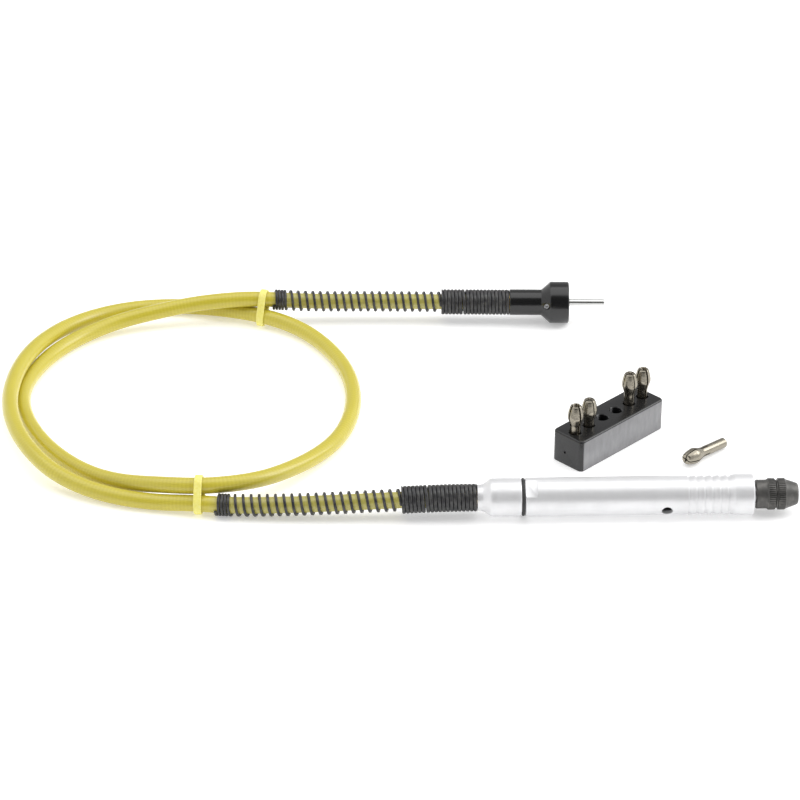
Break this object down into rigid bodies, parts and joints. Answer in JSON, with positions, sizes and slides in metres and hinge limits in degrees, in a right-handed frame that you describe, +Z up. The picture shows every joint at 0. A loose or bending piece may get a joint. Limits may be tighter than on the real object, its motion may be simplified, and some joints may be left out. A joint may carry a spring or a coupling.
{
  "type": "flexible shaft attachment",
  "caption": "Pen-shaped rotary handpiece on a looped flexible shaft, with spring guards, a drive coupling with a pin, a loose collet and a collet stand.",
  "frame": {"origin": "on the bench, under the middle of the box round the object without its shaft and ties", "axes": "+X along the handpiece's axis towards the collet nut, +Y from the handpiece towards the drive coupling, +Z up from the bench"},
  "size_m": [0.3565, 0.2, 0.0312],
  "materials": {
    "aluminium": "satin anodised, fine turned grain",
    "steel": "ground steel",
    "bright_steel": "bright ground pin",
    "nickel": "nickel-plated, slightly warm",
    "black_steel": "blackened, knurled",
    "brass": "turned",
    "black_rubber": "matt",
    "black_spring": "black coated flat wire",
    "black_plastic": "gloss moulding",
    "stand_plastic": "semi-gloss moulding",
    "yellow_casing": "translucent-looking yellow sheath, semi-gloss",
    "yellow_tie": "bright yellow nylon"
  },
  "bodies": {
    "frame": {"handpiece_body": "aluminium", "rear_cap": "aluminium", "seal_ring": "black_rubber", "rear_bearing_outer_race": "steel", "front_bearing_outer_race": "steel", "preload_washer": "steel", "handpiece_ferrule": "brass", "handpiece_sleeve_spring": "black_spring", "handpiece_guard_spring": "black_spring", "shaft_casing": "yellow_casing", "lower_tie": "yellow_tie", "upper_tie": "yellow_tie", "drive_guard_spring": "black_spring", "drive_sleeve_spring": "black_spring", "drive_housing": "black_plastic", "drive_ferrule": "brass", "clamp_screw": "steel", "drive_rear_bush": "brass", "drive_front_bush": "brass", "collet_stand": "stand_plastic", "collet_loose": "nickel"},
    "handpiece_spindle": {"spindle": "steel", "rear_bearing_inner_race": "steel", "front_bearing_inner_race": "steel", "spindle_circlip": "black_steel", "spindle_nose": "black_steel", "collet_fitted": "nickel", "core_tip_handpiece": "steel"},
    "rear_cage": {"rear_bearing_cage": "brass"},
    "front_cage": {"front_bearing_cage": "brass"},
    "nut": {"collet_nut": "black_steel"},
    "drive_pin": {"drive_spindle": "bright_steel", "core_tip_drive": "steel"},
    "collet_a": {"collet_a": "nickel"},
    "collet_b": {"collet_b": "nickel"},
    "collet_c": {"collet_c": "nickel"},
    "collet_d": {"collet_d": "nickel"}
  },
  "joints": [
    {"name": "handpiece_spin", "type": "hinge", "parent": "frame", "child": "handpiece_spindle", "pos_m": [0, -0.0881, 0.0092], "axis": [1, 0, 0], "continuous": true},
    {"name": "drive_spin", "type": "hinge", "parent": "frame", "child": "drive_pin", "pos_m": [0.0386, 0.0869, 0.0102], "axis": [0.9995, -0.0332, 0], "continuous": true},
    {"name": "rear_cage_spin", "type": "hinge", "parent": "frame", "child": "rear_cage", "pos_m": [0.02, -0.0881, 0.0092], "axis": [1, 0, 0], "continuous": true},
    {"name": "front_cage_spin", "type": "hinge", "parent": "frame", "child": "front_cage", "pos_m": [0.102, -0.0881, 0.0092], "axis": [1, 0, 0], "continuous": true},
    {"name": "nut_turn", "type": "hinge", "parent": "handpiece_spindle", "child": "nut", "pos_m": [0.1226, -0.0881, 0.0092], "axis": [1, 0, 0], "range_deg": [0, 360]},
    {"name": "collet_a_lift", "type": "slide", "parent": "frame", "child": "collet_a", "axis": [0, 0, 1], "range_m": [0, 0.0119]},
    {"name": "collet_b_lift", "type": "slide", "parent": "frame", "child": "collet_b", "axis": [0, 0, 1], "range_m": [0, 0.0126]},
    {"name": "collet_c_lift", "type": "slide", "parent": "frame", "child": "collet_c", "axis": [0, 0, 1], "range_m": [0, 0.0102]},
    {"name": "collet_d_lift", "type": "slide", "parent": "frame", "child": "collet_d", "axis": [0, 0, 1], "range_m": [0, 0.0115]}
  ],
  "couplings": [
    {"joint": "drive_spin", "follows": "handpiece_spin", "ratio": -1},
    {"joint": "rear_cage_spin", "follows": "handpiece_spin", "ratio": 0.434},
    {"joint": "front_cage_spin", "follows": "handpiece_spin", "ratio": 0.434}
  ]
}
